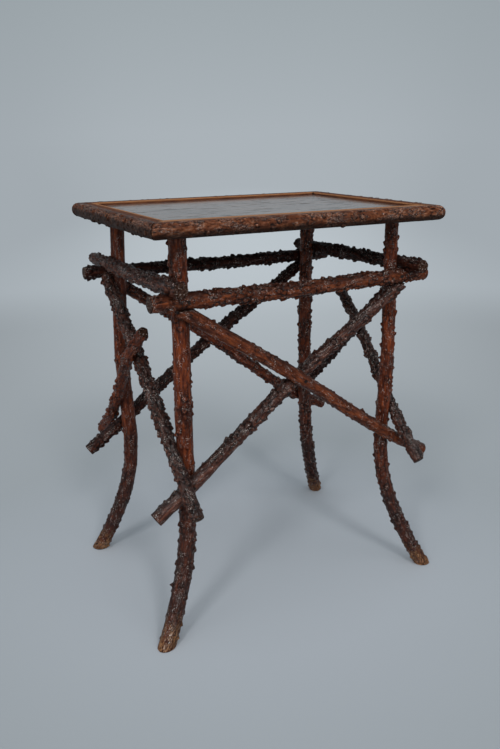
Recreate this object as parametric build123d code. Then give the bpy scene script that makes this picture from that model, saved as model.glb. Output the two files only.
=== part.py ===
from build123d import *
import math
import os

# Rustic side table made of round branches with the bark left on.
#
# Four branch legs run up to a board that is edged with split branches. Four rails lie
# against the outside of the legs, log-cabin fashion, and a pair of crossed braces closes
# each side below them. Every crossing is a shallow flat cut in both branches, and a nail.
#
# Millimetres, +Z up. The origin is on the floor, under the centre of the top. The long side
# of the top runs along X, and the front of the table faces -Y.

# ------------------------------------------------------------------ top
TABLE_HEIGHT = 750.0
TOP_LENGTH = 578.0
TOP_WIDTH = 436.0
TOP_CORNER_RADIUS = 12.0
EDGING_HEIGHT = 27.0
EDGING_DEPTH = 37.0
EDGING_FLAT = 25.0
EDGING_WAVE = 1.2
EDGING_FACES = 8
BOARD_THICKNESS = 18.0
BOARD_RECESS = 5.0
BOARD_FIT = 0.2

# ------------------------------------------------------------------ legs
LEG_SPACING_LONG = 436.0
LEG_SPACING_SHORT = 296.0
LEG_CURVE_POWER = 1.5
LEG_CURVE_POINTS = 5
LEG_SPAN = 58.0

# ------------------------------------------------------------------ joints between branches
SEAT_BITE = 2.0
SEAT_MARGIN = 8.0
SEAT_CLEARANCE = 1.5
END_GAP = 0.4
CUT_REACH = 60.0

# ------------------------------------------------------------------ bark and knots
BRANCH_SPAN = 85.0
RING_CORNERS = 16
SWELL = 0.035
KNOT_PITCH = 80.0
KNOT_RADIUS = 5.5
KNOT_TIP_RADIUS = 3.2
KNOT_CORNERS = 6
KNOT_HEIGHT = 4.0
KNOT_LEAN = 0.3
KNOT_CLEAR = 34.0
GOLDEN_ANGLE = math.radians(137.5)

# ------------------------------------------------------------------ cut nails
NAIL_THICKNESS = 2.8
NAIL_HEAD_WIDTH = 6.0
NAIL_HEAD_HEIGHT = 1.2
NAIL_GRIP = 0.65
NAIL_SINK = 1.5
NAIL_FIT = 0.1
NAIL_NUDGE = 5.0
EDGING_NAIL_LENGTH = 60.0
EDGING_NAILS_LONG = 3
EDGING_NAILS_SHORT = 2
TOP_NAIL_LENGTH = 60.0
TOP_NAIL_SPACING = 11.0

# Each leg: the corner it stands at, its radius at the top and at the foot, the height where
# it starts to sweep out, how far its foot sweeps out along X and Y, and how far it bows out.
LEGS = {
    "leg_front_left": dict(corner=(-1, -1), radii=(15.0, 16.0), bend=162.0, sweep=(70.0, 59.0), bow=-5.0),
    "leg_front_right": dict(corner=(1, -1), radii=(12.5, 14.5), bend=235.0, sweep=(79.0, 54.0), bow=2.5),
    "leg_back_left": dict(corner=(-1, 1), radii=(14.0, 15.0), bend=215.0, sweep=(68.0, 43.0), bow=6.0),
    "leg_back_right": dict(corner=(1, 1), radii=(14.0, 14.5), bend=250.0, sweep=(73.0, 61.0), bow=-12.0),
}

# Each side of the frame: the way it faces, and its legs from the low to the high end of X or Y.
SIDES = {
    "front": (Vector(0, -1, 0), ("leg_front_left", "leg_front_right")),
    "back": (Vector(0, 1, 0), ("leg_back_left", "leg_back_right")),
    "left": (Vector(-1, 0, 0), ("leg_front_left", "leg_back_left")),
    "right": (Vector(1, 0, 0), ("leg_front_right", "leg_back_right")),
}

# Each rail: its radius at its two ends, how far it runs on, and how far its middle sags. A long
# rail lies some drop below the edging at its two legs, and runs on past them. A short rail lies
# on both long rails and runs on past those.
LONG_RAILS = {
    "front": dict(radii=(14.5, 13.0), past=(64.0, 65.0), sag=3.0, drops=(106.0, 104.0)),
    "back": dict(radii=(12.0, 12.5), past=(64.0, 66.0), sag=2.0, drops=(107.0, 108.0)),
}
SHORT_RAILS = {
    "left": dict(radii=(13.0, 11.0), past=(40.0, 68.0), sag=3.0),
    "right": dict(radii=(12.0, 12.0), past=(47.0, 46.0), sag=1.0),
}

# Each brace: which of its two legs it rises to, its radius at its two ends, its height at its
# low leg, its drop below the rail at its upper leg, how far it runs on past the two, and how far
# its low end curls up. The outer brace of a short side stops before it reaches its upper leg,
# so there it runs "past" by less than nothing.
BRACES = {
    "front_inner": dict(rises_to=1, radii=(13.5, 11.5), low=284.0, drop=22.0, past=(86.0, 11.0), curl=0.0),
    "front_outer": dict(rises_to=0, radii=(12.5, 12.0), low=298.0, drop=21.0, past=(12.0, 106.0), curl=10.0),
    "back_inner": dict(rises_to=0, radii=(12.0, 11.5), low=280.0, drop=21.0, past=(10.0, 78.0), curl=14.0),
    "back_outer": dict(rises_to=1, radii=(12.0, 11.5), low=297.0, drop=19.0, past=(98.0, 10.0), curl=0.0),
    "left_inner": dict(rises_to=1, radii=(11.5, 12.0), low=341.0, drop=32.0, past=(132.0, 8.0), curl=3.0),
    "left_outer": dict(rises_to=0, radii=(10.0, 11.5), low=345.0, drop=29.0, past=(-93.0, 137.0), curl=0.0),
    "right_inner": dict(rises_to=0, radii=(11.5, 11.0), low=338.0, drop=32.0, past=(3.0, 118.0), curl=0.0),
    "right_outer": dict(rises_to=1, radii=(10.5, 10.0), low=347.0, drop=9.5, past=(124.0, -97.0), curl=0.0),
}

# Each crossed pair: how far it arches above a straight line, and the share of the step over
# the crossing that the outer brace takes. The inner brace bows in by the rest.
CROSSINGS = {
    "front": dict(arch=5.0, outer_share=0.5),
    "back": dict(arch=7.0, outer_share=0.5),
    "left": dict(arch=8.0, outer_share=1.0),
    "right": dict(arch=0.0, outer_share=1.0),
}

UP = Vector(0, 0, 1)
EDGING_UNDERSIDE = TABLE_HEIGHT - EDGING_HEIGHT
BOARD_TOP = TABLE_HEIGHT - BOARD_RECESS
BOARD_UNDERSIDE = BOARD_TOP - BOARD_THICKNESS
BOARD_LENGTH = TOP_LENGTH - 2 * EDGING_DEPTH - 2 * BOARD_FIT
BOARD_WIDTH = TOP_WIDTH - 2 * EDGING_DEPTH - 2 * BOARD_FIT
BOARD_MIDDLE = BOARD_UNDERSIDE + BOARD_THICKNESS / 2


def mix(first, last, share):
    return first + (last - first) * share


def square_to(direction, axis):
    """The part of a direction that is square to an axis, as a unit vector."""
    return (direction - axis * direction.dot(axis)).normalized()


class Branch:
    """A round branch along a smooth centre line, with a taper, knots, and cuts made in it."""

    def __init__(self, points, radii, span, phase):
        self.line = Spline(*points)
        self.heading = (points[-1] - points[0]).normalized()
        stands = abs(self.heading.Z) > abs(self.heading.X) + abs(self.heading.Y)
        self.across = Vector(1, 0, 0) if stands else UP
        self.radii = radii
        self.spans = max(4, round(self.line.length / span))
        self.phase = phase
        self.seats = []
        self.cuts = []

    def share_abreast(self, point):
        """How far along the branch, from 0 to 1, a point of space lies."""
        low, high = 0.0, 1.0
        for _ in range(24):
            middle = (low + high) / 2
            if (self.line @ middle - point).dot(self.heading) < 0:
                low = middle
            else:
                high = middle
        return low

    def radius_at(self, share):
        swell = SWELL * math.sin(GOLDEN_ANGLE * self.spans * share + self.phase)
        return mix(*self.radii, share) * (1 + swell)

    def bark(self):
        """The branch itself, from ring to ring. Flats between corners keep its mesh light."""
        rings = []
        for i in range(self.spans + 1):
            share = i / self.spans
            way = self.line % share
            plane = Plane(origin=self.line @ share, x_dir=square_to(self.across, way), z_dir=way)
            rings.append(plane * RegularPolygon(self.radius_at(share), RING_CORNERS))
        return loft(rings, ruled=True)

    def knots(self):
        """Stubs of side twigs, turned about the branch by the golden angle, clear of the seats."""
        stubs = []
        count = int(self.line.length / KNOT_PITCH)
        for i in range(count):
            share = (i + 0.5) / count
            centre = self.line @ share
            if any((centre - seat).length < KNOT_CLEAR for seat in self.seats):
                continue
            along = self.line % share
            turn = math.degrees(i * GOLDEN_ANGLE + self.phase)
            side = square_to(Vector(1, 1, 1), along).rotate(Axis((0, 0, 0), along), turn)
            plane = Plane(origin=centre, z_dir=side + along * KNOT_LEAN)
            root = plane * RegularPolygon(KNOT_RADIUS, KNOT_CORNERS)
            tip_plane = plane.offset(self.radius_at(share) + KNOT_HEIGHT)
            stubs.append(loft([root, tip_plane * RegularPolygon(KNOT_TIP_RADIUS, KNOT_CORNERS)]))
        return stubs

    def solid(self):
        body = self.bark() + self.knots() - self.cuts
        return body.solids().sort_by(SortBy.VOLUME)[-1]


# ------------------------------------------------------------------ fastenings


def block(plane, length, width, height):
    """A block that stands on a plane, to cut with."""
    return plane * Box(length, width, height, align=(Align.CENTER, Align.CENTER, Align.MIN))


def nail(plane, length, fit=0.0, open_above=0.0):
    """A cut nail whose head lies on a plane. With a fit, it is the hole for one."""
    thickness, head_width = NAIL_THICKNESS + 2 * fit, NAIL_HEAD_WIDTH + 2 * fit
    shank = Box(thickness, thickness, length + fit, align=(Align.CENTER, Align.CENTER, Align.MAX))
    head_height = NAIL_HEAD_HEIGHT + open_above
    head = Box(head_width, head_width, head_height, align=(Align.CENTER, Align.CENTER, Align.MIN))
    return plane * (shank + head)


def half_chord(radius, depth):
    """Half the width of a round branch at a depth below its bark."""
    return math.sqrt(radius**2 - (radius - depth) ** 2)


def join(inner, outer, point, facing, nails, nudge=0.0):
    """Cut a flat in both of two crossing branches, and nail the outer one to the inner one."""
    inner_share, outer_share = inner.share_abreast(point), outer.share_abreast(point)
    inner_radius, outer_radius = inner.radius_at(inner_share), outer.radius_at(outer_share)
    inner_way = square_to(inner.line % inner_share, facing)
    outer_way = square_to(outer.line % outer_share, facing)
    for branch, radius, other_radius, other_way, cut_way in (
        (inner, inner_radius, outer_radius, outer_way, facing),
        (outer, outer_radius, inner_radius, inner_way, -facing),
    ):
        width = 2 * (half_chord(other_radius, 2 * SEAT_BITE) + SEAT_CLEARANCE)
        plane = Plane(origin=point, x_dir=other_way, z_dir=cut_way)
        branch.cuts.append(block(plane, 2 * (radius + SEAT_MARGIN), width, CUT_REACH))
        branch.seats.append(point)
    head_level = 2 * outer_radius - SEAT_BITE - NAIL_SINK
    length = head_level + NAIL_GRIP * 2 * inner_radius
    head = point + outer_way * nudge + facing * head_level
    nail_plane = Plane(origin=head, x_dir=outer_way, z_dir=facing)
    for branch in (inner, outer):
        branch.cuts.append(nail(nail_plane, length, NAIL_FIT, CUT_REACH))
    nails.append(nail(nail_plane, length))


# ------------------------------------------------------------------ legs


def leg_radius(leg, height):
    top_radius, foot_radius = LEGS[leg]["radii"]
    return mix(foot_radius, top_radius, height / BOARD_UNDERSIDE)


def leg_centre(leg, height):
    """The middle of a leg at a height: upright with a slight bow, then swept out to its foot."""
    data = LEGS[leg]
    below_bend = max(0.0, 1 - height / data["bend"])
    above_bend = (height - data["bend"]) / (BOARD_UNDERSIDE - data["bend"])
    bowed = data["bow"] * math.sin(math.pi * min(1.0, max(0.0, above_bend)))
    out = below_bend**LEG_CURVE_POWER + bowed / math.hypot(*data["sweep"])
    x_side, y_side = data["corner"]
    x = x_side * (LEG_SPACING_LONG / 2 + data["sweep"][0] * out)
    y = y_side * (LEG_SPACING_SHORT / 2 + data["sweep"][1] * out)
    return Vector(x, y, height)


def make_leg(leg, phase):
    """A leg, cut level where it meets the board and where it stands on the floor."""
    data = LEGS[leg]
    spare = data["radii"][1]
    steps = range(1, LEG_CURVE_POINTS + 1)
    upright = [mix(BOARD_UNDERSIDE, data["bend"], i / 3) for i in (1, 2, 3)]
    curved = [mix(data["bend"], -spare, i / LEG_CURVE_POINTS) for i in steps]
    heights = [BOARD_UNDERSIDE + spare] + upright + curved
    branch = Branch([leg_centre(leg, height) for height in heights], data["radii"], LEG_SPAN, phase)
    top, foot = leg_centre(leg, BOARD_UNDERSIDE), leg_centre(leg, 0.0)
    branch.cuts.append(block(Plane(origin=top), CUT_REACH, CUT_REACH, CUT_REACH))
    branch.cuts.append(block(Plane(origin=foot, z_dir=-UP), 2 * CUT_REACH, 2 * CUT_REACH, CUT_REACH))
    branch.seats += [top, foot]
    return branch


# ------------------------------------------------------------------ rails


def radii_at_legs(data, distance):
    """The radius of a rail or brace at its two legs, which lie a distance apart."""
    first_past, second_past = data["past"]
    length = first_past + distance + second_past
    return [mix(*data["radii"], (first_past + step) / length) for step in (0.0, distance)]


def beside_leg(leg, height, facing, radius):
    """The middle of a branch that lies against a leg."""
    return leg_centre(leg, height) + facing * (leg_radius(leg, height) + radius - 2 * SEAT_BITE)


def seat_on_leg(leg, height, facing):
    """The middle of the flat on a leg."""
    return leg_centre(leg, height) + facing * (leg_radius(leg, height) - SEAT_BITE)


def run_on(here, other, past):
    """A point that lies beyond here, on the line that comes from the other point."""
    return here + (here - other).normalized() * past


def make_rail(first, second, data, phase):
    """A rail through two points, with a sag between them."""
    first_past, second_past = data["past"]
    middle = (first + second) / 2 - UP * data["sag"]
    points = [run_on(first, second, first_past), first, middle, second, run_on(second, first, second_past)]
    return Branch(points, data["radii"], BRANCH_SPAN, phase)


def make_long_rail(side, legs, nails, phase):
    data = LONG_RAILS[side]
    facing, leg_names = SIDES[side]
    radii = radii_at_legs(data, LEG_SPACING_LONG)
    heights = [EDGING_UNDERSIDE - drop for drop in data["drops"]]
    ends = [
        beside_leg(leg, height, facing, radius)
        for leg, height, radius in zip(leg_names, heights, radii)
    ]
    rail = make_rail(*ends, data, phase)
    for leg, height in zip(leg_names, heights):
        join(legs[leg], rail, seat_on_leg(leg, height, facing), facing, nails)
    return rail


def rail_height(rail, leg):
    """The height of a rail's middle where it passes a leg."""
    share = rail.share_abreast(leg_centre(leg, (rail.line @ 0.5).Z))
    return (rail.line @ share).Z


def make_short_rail(side, legs, long_rails, nails, phase):
    """A rail that lies on both long rails, against the outside of two legs."""
    data = SHORT_RAILS[side]
    facing, leg_names = SIDES[side]
    radii = radii_at_legs(data, LEG_SPACING_SHORT)
    ends, seats = [], []
    for leg, under, radius in zip(leg_names, long_rails, radii):
        beside = beside_leg(leg, rail_height(under, leg), facing, radius)
        share = under.share_abreast(beside)
        below = under.line @ share
        seat_height = below.Z + under.radius_at(share) - SEAT_BITE
        seats.append(Vector(beside.X, below.Y, seat_height))
        ends.append(Vector(beside.X, below.Y, seat_height + radius - SEAT_BITE))
    rail = make_rail(*ends, data, phase)
    for under, seat in zip(long_rails, seats):
        join(under, rail, seat, UP, nails)
    for leg in leg_names:
        join(legs[leg], rail, seat_on_leg(leg, rail_height(rail, leg), facing), facing, nails)
    return rail


# ------------------------------------------------------------------ braces


def trim_under(brace, rail, near):
    """Cut a brace's upper end level, just under the rail above it."""
    share = rail.share_abreast(near)
    height = (rail.line @ share).Z - rail.radius_at(share) - END_GAP
    plane = Plane(origin=Vector(near.X, near.Y, height))
    brace.cuts.append(block(plane, 2 * CUT_REACH, 2 * CUT_REACH, CUT_REACH))


def brace_heights(side, data, rail):
    """The height of a brace at its two legs."""
    upper = data["rises_to"]
    high = rail_height(rail, SIDES[side][1][upper]) - data["drop"]
    return (data["low"], high) if upper else (high, data["low"])


def make_brace(side, data, ends, crossing, step, legs, rail, nails, phase):
    """A brace through its crossing. Where it stops short of a leg, it keeps its step out there."""
    facing, leg_names = SIDES[side]
    upper = data["rises_to"]
    points = [crossing]
    for i in (0, 1):
        here, other = ends[i], ends[1 - i]
        end = run_on(here, other, data["past"][i])
        if i != upper:
            end = end + UP * data["curl"]
        stretch = [end + facing * step] if data["past"][i] < 0 else [end, here]
        points = points + stretch[::-1] if i else stretch + points
    brace = Branch(points, data["radii"], BRANCH_SPAN, phase)
    for i, height in enumerate(brace_heights(side, data, rail)):
        if data["past"][i] < 0:
            continue
        nudge = NAIL_NUDGE * (1 - 2 * i) if i == upper else 0.0
        join(legs[leg_names[i]], brace, seat_on_leg(leg_names[i], height, facing), facing, nails, nudge)
        if i == upper:
            trim_under(brace, rail, ends[i])
    return brace


def make_crossed_pair(side, legs, rail, nails, phase):
    """The two braces of a side: the outer one steps over the inner one where they cross."""
    facing, leg_names = SIDES[side]
    pair = [BRACES[side + "_inner"], BRACES[side + "_outer"]]
    feet = [leg_centre(leg, BOARD_UNDERSIDE) for leg in leg_names]
    ends = []
    for data in pair:
        heights = brace_heights(side, data, rail)
        radii = radii_at_legs(data, math.hypot((feet[1] - feet[0]).length, heights[1] - heights[0]))
        ends.append([
            beside_leg(leg, height, facing, radius)
            for leg, height, radius in zip(leg_names, heights, radii)
        ])
    gap_first = ends[1][0].Z - ends[0][0].Z
    gap_second = ends[0][1].Z - ends[1][1].Z
    share = gap_first / (gap_first + gap_second)
    crossing = (mix(*ends[0], share) + mix(*ends[1], share)) / 2 + UP * CROSSINGS[side]["arch"]
    radii = [mix(*data["radii"], share) for data in pair]
    step = sum(radii) - 2 * SEAT_BITE
    step_out = step * CROSSINGS[side]["outer_share"]
    inner_middle = crossing - facing * (step - step_out)
    outer_middle = crossing + facing * step_out
    inner = make_brace(side, pair[0], ends[0], inner_middle, 0.0, legs, rail, nails, phase)
    outer = make_brace(side, pair[1], ends[1], outer_middle, step_out, legs, rail, nails, phase + 1)
    join(inner, outer, inner_middle + facing * (radii[0] - SEAT_BITE), facing, nails)
    return inner, outer


# ------------------------------------------------------------------ top


def edging_profile(bulge):
    """Section of a branch split and planed on its top, its underside and its inner face."""
    half = EDGING_HEIGHT / 2
    turns = [math.pi * (i / EDGING_FACES - 0.5) for i in range(EDGING_FACES + 1)]
    bark = [(EDGING_FLAT + bulge * math.cos(turn), half + half * math.sin(turn)) for turn in turns]
    return make_face(Polyline((0, 0), *bark, (0, EDGING_HEIGHT), close=True))


def make_edging(side, phase):
    """One side of the edging, mitred at both ends, with the nails that hold it to the board."""
    facing = SIDES[side][0]
    is_long = facing.X == 0
    length, width = (TOP_LENGTH, TOP_WIDTH) if is_long else (TOP_WIDTH, TOP_LENGTH)
    way = facing.cross(UP)
    inner_face = facing * (width / 2 - EDGING_DEPTH)
    bottom = UP * EDGING_UNDERSIDE
    spans = round(length / BRANCH_SPAN)
    sections = []
    for i in range(spans + 1):
        origin = inner_face + bottom + way * (length * (i / spans - 0.5))
        wave = EDGING_WAVE * (1 + math.sin(GOLDEN_ANGLE * i + phase)) / 2
        bulge = EDGING_DEPTH - EDGING_FLAT - wave
        sections.append(Plane(origin=origin, x_dir=facing, z_dir=way) * edging_profile(bulge))
    outer_half, inner_half = length / 2, length / 2 - EDGING_DEPTH
    mitred = Polygon(
        (-inner_half, 0), (inner_half, 0), (outer_half, EDGING_DEPTH), (-outer_half, EDGING_DEPTH),
        align=None,
    )
    plan = Plane(origin=inner_face + bottom, x_dir=way, z_dir=UP)
    corners = Plane(origin=bottom) * RectangleRounded(TOP_LENGTH, TOP_WIDTH, TOP_CORNER_RADIUS)
    piece = loft(sections, ruled=True)
    piece = piece & extrude(plan * mitred, EDGING_HEIGHT) & extrude(corners, EDGING_HEIGHT)
    count = EDGING_NAILS_LONG if is_long else EDGING_NAILS_SHORT
    nail_planes = []
    for i in range(count):
        spot = way * (2 * inner_half * ((i + 0.5) / count - 0.5))
        head = facing * (width / 2 - EDGING_WAVE - NAIL_SINK) + UP * BOARD_MIDDLE
        nail_planes.append(Plane(origin=spot + head, x_dir=way, z_dir=facing))
    return piece, nail_planes


def make_top(nails):
    """The board and the edging around it."""
    pieces = {}
    board = Plane(origin=UP * BOARD_UNDERSIDE) * Box(
        BOARD_LENGTH, BOARD_WIDTH, BOARD_THICKNESS,
        align=(Align.CENTER, Align.CENTER, Align.MIN),
    )
    for phase, side in enumerate(SIDES):
        piece, nail_planes = make_edging(side, phase)
        for plane in nail_planes:
            hole = nail(plane, EDGING_NAIL_LENGTH, NAIL_FIT, CUT_REACH)
            piece = piece - hole
            board = board - hole
            nails.append(nail(plane, EDGING_NAIL_LENGTH))
        pieces["edging_" + side] = piece
    pieces["board"] = board
    return pieces


# ------------------------------------------------------------------ the table


def make_table():
    """Every piece of the table, by name."""
    rail_nails, brace_nails, edging_nails, top_nails = [], [], [], []
    legs = {leg: make_leg(leg, phase) for phase, leg in enumerate(LEGS)}
    long_rails = [
        make_long_rail(side, legs, rail_nails, phase) for phase, side in enumerate(LONG_RAILS)
    ]
    short_rails = [
        make_short_rail(side, legs, long_rails, rail_nails, phase)
        for phase, side in enumerate(SHORT_RAILS)
    ]
    rails = dict(zip(("front", "back", "left", "right"), long_rails + short_rails))
    branches = dict(legs)
    for phase, side in enumerate(SIDES):
        branches["rail_" + side] = rails[side]
        inner, outer = make_crossed_pair(side, legs, rails[side], brace_nails, 2 * phase)
        branches["brace_" + side + "_inner"] = inner
        branches["brace_" + side + "_outer"] = outer
    pieces = make_top(edging_nails)
    for leg in LEGS:
        middle = leg_centre(leg, BOARD_UNDERSIDE)
        for side in (-0.5, 0.5):
            head = Vector(middle.X + side * TOP_NAIL_SPACING, middle.Y, BOARD_TOP - NAIL_HEAD_HEIGHT)
            plane = Plane(origin=head)
            hole = nail(plane, TOP_NAIL_LENGTH, NAIL_FIT, CUT_REACH)
            pieces["board"] = pieces["board"] - hole
            legs[leg].cuts.append(hole)
            top_nails.append(nail(plane, TOP_NAIL_LENGTH))
    for name, branch in branches.items():
        pieces[name] = branch.solid()
    pieces["rail_nails"] = Compound(children=rail_nails)
    pieces["brace_nails"] = Compound(children=brace_nails)
    pieces["edging_nails"] = Compound(children=edging_nails)
    pieces["top_nails"] = Compound(children=top_nails)
    return pieces


if __name__ == "__main__":
    os.makedirs("parts", exist_ok=True)
    for name, piece in make_table().items():
        export_step(piece, "parts/" + name + ".step")
        print(name, round(piece.volume))
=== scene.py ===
# %% [markdown]
# # A rustic side table of thorny branches
#
# The table is made of round branches with the bark left on, nailed together where they cross
# and sealed under dark varnish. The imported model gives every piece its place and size. This
# script dresses each piece: it wraps a knotty skin of bark around every branch, splits and
# planes the edging of the top, and gives every surface its finish.

# %% Load the frame
import math

import bpy
import numpy as np
from mathutils import Matrix, Vector
from mathutils.bvhtree import BVHTree
from mathutils.geometry import convex_hull_2d


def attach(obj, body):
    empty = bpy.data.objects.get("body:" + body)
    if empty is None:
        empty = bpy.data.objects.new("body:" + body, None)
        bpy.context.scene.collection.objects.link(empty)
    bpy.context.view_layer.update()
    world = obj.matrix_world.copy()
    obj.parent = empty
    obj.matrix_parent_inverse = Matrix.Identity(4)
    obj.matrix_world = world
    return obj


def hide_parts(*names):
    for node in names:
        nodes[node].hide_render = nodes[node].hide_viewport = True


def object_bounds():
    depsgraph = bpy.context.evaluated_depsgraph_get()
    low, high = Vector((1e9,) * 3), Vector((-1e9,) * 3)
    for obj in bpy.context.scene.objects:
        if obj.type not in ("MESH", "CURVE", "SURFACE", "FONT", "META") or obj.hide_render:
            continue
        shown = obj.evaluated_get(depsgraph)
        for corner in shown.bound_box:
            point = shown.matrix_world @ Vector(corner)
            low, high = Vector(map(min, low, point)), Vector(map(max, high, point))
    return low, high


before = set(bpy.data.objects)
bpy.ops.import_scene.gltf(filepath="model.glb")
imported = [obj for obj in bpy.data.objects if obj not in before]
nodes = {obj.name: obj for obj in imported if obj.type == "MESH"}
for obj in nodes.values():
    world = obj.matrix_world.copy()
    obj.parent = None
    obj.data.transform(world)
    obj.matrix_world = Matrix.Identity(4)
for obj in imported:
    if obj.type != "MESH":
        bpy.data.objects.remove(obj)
cad_box = [list(corner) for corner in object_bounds()]
print("CAD nodes:", len(nodes))
print("CAD box in metres:", cad_box)

# %% [markdown]
# ## The camera
#
# A camera can be placed by eye, or its distance, height and lens can be named and turned into
# a matrix. Naming them keeps the view exact: it looks down at the table from the front left,
# a little above the top, with a lens that is long enough to keep the legs upright.

# %% Place the camera
IMAGE_SIZE = (500, 749)
CAMERA_PLACE = Vector((-0.7045, -1.3234, 0.8806))
CAMERA_YAW = math.radians(27.8)
CAMERA_PITCH = math.radians(17.41)
CAMERA_ROLL = math.radians(-0.434)
FOCAL_PIXELS = 774.5

forward = Vector((
    math.sin(CAMERA_YAW) * math.cos(CAMERA_PITCH),
    math.cos(CAMERA_YAW) * math.cos(CAMERA_PITCH),
    -math.sin(CAMERA_PITCH),
))
level_right = Vector((math.cos(CAMERA_YAW), -math.sin(CAMERA_YAW), 0))
level_up = level_right.cross(forward)
right = level_right * math.cos(CAMERA_ROLL) + level_up * math.sin(CAMERA_ROLL)
up = right.cross(forward)

camera_data = bpy.data.cameras.new("camera")
camera_data.lens = FOCAL_PIXELS * camera_data.sensor_width / max(IMAGE_SIZE)
camera = bpy.data.objects.new("camera", camera_data)
turn = Matrix((right, up, -forward)).transposed().to_4x4()
camera.matrix_world = Matrix.Translation(CAMERA_PLACE) @ turn
bpy.context.scene.collection.objects.link(camera)
bpy.context.scene.camera = camera
print("lens in mm:", round(camera_data.lens, 1))

# %% [markdown]
# ## Colours and nodes
#
# A material is a small graph of nodes. Three helpers keep that graph readable. The first turns
# a hex colour, as a colour picker gives it, into the linear numbers that the renderer counts
# with. The second starts a material with an empty graph. The third adds one node, sets its
# options and fills or links its inputs.

# %% Colour and node helpers
# A Mix node has sockets of several kinds. These are its share and its three for colours.
SHARE, FIRST, SECOND, MIXED = 0, 6, 7, 2


def to_linear(hex_colour):
    """A hex colour as linear red, green and blue, with an alpha of 1."""
    channels = [int(hex_colour[i:i + 2], 16) / 255 for i in (1, 3, 5)]
    linear = [c / 12.92 if c <= 0.04045 else ((c + 0.055) / 1.055) ** 2.4 for c in channels]
    return (*linear, 1.0)


def new_material(name):
    """A material whose graph is still empty, and that graph."""
    material = bpy.data.materials.new(name)
    material.use_nodes = True
    material.node_tree.nodes.clear()
    return material, material.node_tree


def add_node(tree, kind, inputs, stops=(), **options):
    """Add a node with its options, its inputs and, on a colour ramp, its stops."""
    node = tree.nodes.new(kind)
    for name, value in options.items():
        setattr(node, name, value)
    for i, (place, colour) in enumerate(stops):
        stop = node.color_ramp.elements[i] if i < 2 else node.color_ramp.elements.new(place)
        stop.position, stop.color = place, to_linear(colour)
    for socket, value in inputs.items():
        if isinstance(value, bpy.types.NodeSocket):
            tree.links.new(value, node.inputs[socket])
        else:
            node.inputs[socket].default_value = value
    return node


print("middle grey in linear light:", round(to_linear("#808080")[0], 3))

# %% [markdown]
# ## The studio
#
# The table stands on a wide sheet of pale grey paper that has no visible edge. A box of walls
# could do that, but a wall gets in the way when the table is looked at from behind. Here the
# paper is one large disc, in tones that change slowly from the middle outwards. Close to the
# table it is plain matt paper, which has no shine and takes the shadows; a step away from it
# the paper is painted a little darker, as painted shade. Further out it glows by itself, and
# so does the world behind it: dim at first, then paler, with the same tone on both where they
# meet, so there is no horizon. On the side that the table is seen against, both glow a little
# more, a painted glow, and a painted pool of light lies on the paper.
#
# Two small suns from the front give each leg two faint shadows that run back and to the right.
# A third, very wide one fills the front with soft light.

# %% Studio colours
PAPER = "#b0b5bb"  # under the table
# painted shade: the paper is a little darker a step away from the table
PAPER_SHADED_BEHIND = "#a6abaf"  # a step away from it
PAPER_DIM = "#8a9196"  # where the paper begins to glow
PAPER_FAR = "#a2aab0"  # where it meets the world
# the paper's painted glow straight ahead, and below it the painted pool of light
PAPER_GLOW = "#aab2b8"  # the same, straight ahead
PAPER_PAINTED_POOL = "#bbc4ca"  # in the pool of light
PAPER_HIGH = "#9aa3a8"  # the world, higher up
# the world's painted glow straight ahead
HAZE_GLOW = "#9ea7ac"  # the same, straight ahead
print("studio tones:", PAPER, PAPER_DIM, PAPER_FAR, PAPER_HIGH)

# %% Straight ahead
GLOW_EDGE = math.cos(math.radians(17))


def straight_ahead(tree, way):
    """How near a direction comes to the way the camera heads, seen from above: from 0 to 1.

    A place on the floor counts as the direction in which it lies from the middle of the table.
    """
    level = add_node(tree, "ShaderNodeVectorMath", {0: way, 1: (1.0, 1.0, 0.0)}, operation="MULTIPLY")
    unit = add_node(tree, "ShaderNodeVectorMath", {0: level.outputs["Vector"]}, operation="NORMALIZE")
    ahead = add_node(tree, "ShaderNodeVectorMath", {
        0: unit.outputs["Vector"], 1: (math.sin(CAMERA_YAW), math.cos(CAMERA_YAW), 0.0),
    }, operation="DOT_PRODUCT")
    share = add_node(tree, "ShaderNodeMapRange", {
        "Value": ahead.outputs["Value"], "From Min": GLOW_EDGE, "From Max": 1.0,
    }, interpolation_type="SMOOTHSTEP")
    return share.outputs["Result"]


# %% Lamps
# Azimuth and height say where the light comes from, and softness how wide the lamp looks from
# the table, all in degrees.
LAMPS = {
    "lamp_right": dict(azimuth=-95, height=35, softness=12, strength=0.8),
    "lamp_left": dict(azimuth=-142, height=35, softness=12, strength=0.8),
    "front_fill": dict(azimuth=-118, height=38, softness=110, strength=1.15),
}
for name, looks in LAMPS.items():
    lamp = bpy.data.lights.new(name, "SUN")
    lamp.energy = looks["strength"]
    lamp.angle = math.radians(looks["softness"])
    azimuth, lamp_height = math.radians(looks["azimuth"]), math.radians(looks["height"])
    towards = Vector((
        math.cos(azimuth) * math.cos(lamp_height),
        math.sin(azimuth) * math.cos(lamp_height),
        math.sin(lamp_height),
    ))
    stand = bpy.data.objects.new(name, lamp)
    stand.rotation_euler = towards.to_track_quat("Z", "Y").to_euler()
    bpy.context.scene.collection.objects.link(stand)
    print(name, "at", looks["azimuth"], "degrees")

# %% World
HIGH_FROM = 0.16  # how steeply a direction rises where the high tone is reached

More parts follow.
